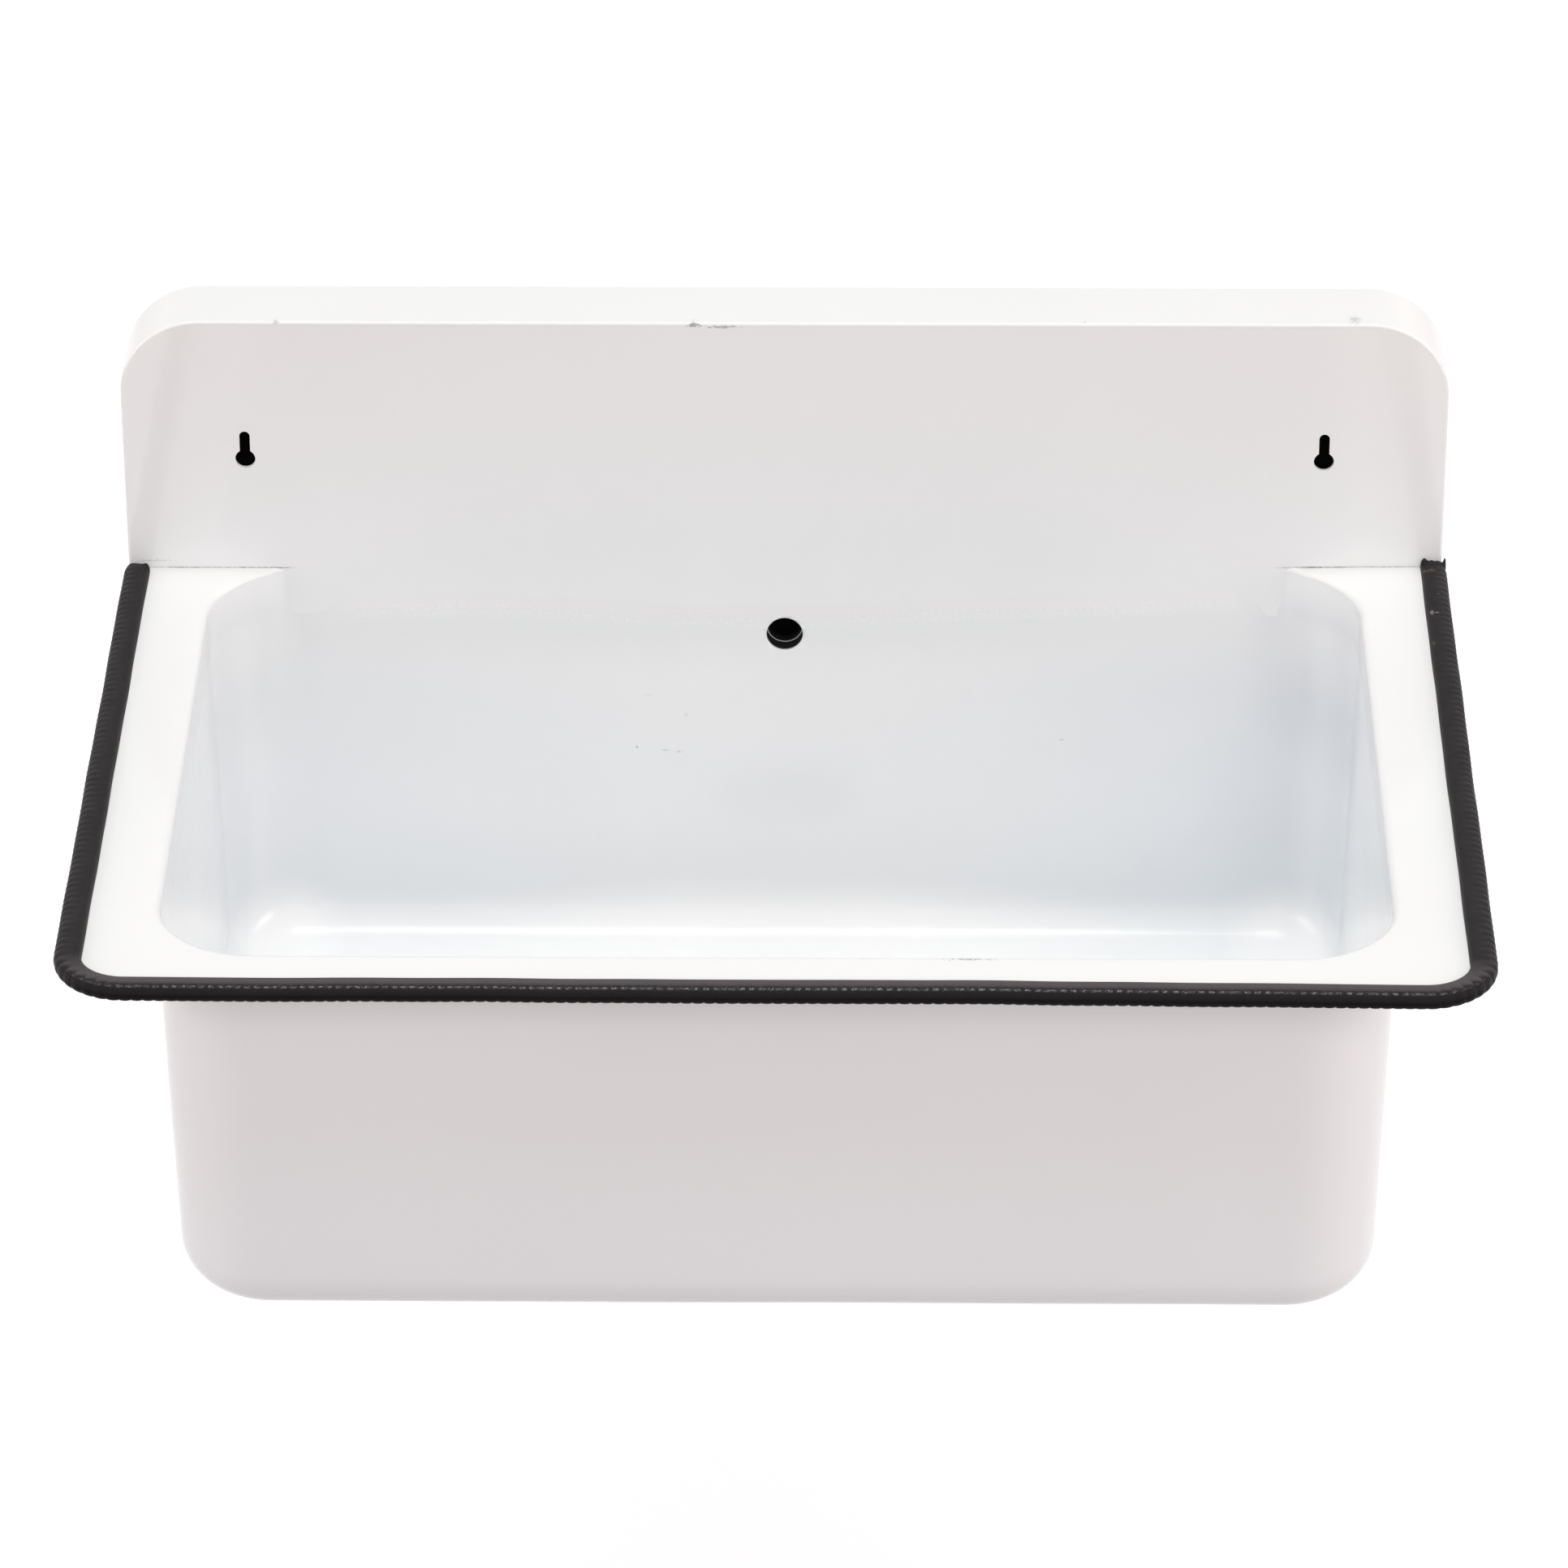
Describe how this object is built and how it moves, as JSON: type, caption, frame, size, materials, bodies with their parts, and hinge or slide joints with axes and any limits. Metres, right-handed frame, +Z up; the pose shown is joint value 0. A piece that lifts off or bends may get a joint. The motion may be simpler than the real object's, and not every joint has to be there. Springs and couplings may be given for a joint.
{
  "type": "wall-mounted bucket sink",
  "caption": "Deep enamelled utility sink that hangs on a wall, with a tall backsplash, a rubber-edged ledge, an overflow and a strainer waste.",
  "frame": {"origin": "midway between the round parts of the two keyholes, on the backsplash's front face", "axes": "+X to the right seen from the front, +Y back to the wall, +Z up"},
  "size_m": [0.7, 0.48, 0.459],
  "materials": {
    "enamel": "gloss white vitreous enamel",
    "edging_rubber": "ribbed black rubber",
    "seal_rubber": "matt black rubber",
    "spring_steel": "plain steel strip",
    "stainless_steel": "brushed stainless steel",
    "brass": "machined brass",
    "waste_plastic": "moulded white plastic",
    "nut_plastic": "moulded white plastic"
  },
  "bodies": {
    "sink": {"bowl": "enamel", "backsplash": "enamel", "overflow_stub": "enamel", "edge_trim": "edging_rubber", "trim_carrier": "spring_steel", "waste_seal_top": "seal_rubber", "waste_seal_bottom": "seal_rubber", "overflow_seal": "seal_rubber", "pipe_washer_upper": "seal_rubber", "pipe_washer_lower": "seal_rubber", "tailpiece_washer": "seal_rubber", "waste_flange": "stainless_steel", "waste_screw": "stainless_steel", "waste_insert": "brass", "waste_body": "waste_plastic", "overflow_elbow": "waste_plastic", "overflow_pipe": "waste_plastic", "tailpiece": "waste_plastic", "overflow_nut": "nut_plastic", "pipe_nut_upper": "nut_plastic", "pipe_nut_lower": "nut_plastic", "tailpiece_nut": "nut_plastic"},
    "strainer": {"waste_strainer": "stainless_steel", "strainer_knob": "stainless_steel"}
  },
  "joints": [
    {"name": "strainer_lift", "type": "slide", "parent": "sink", "child": "strainer", "axis": [0, 0, 1], "range_m": [0, 0.05]}
  ]
}
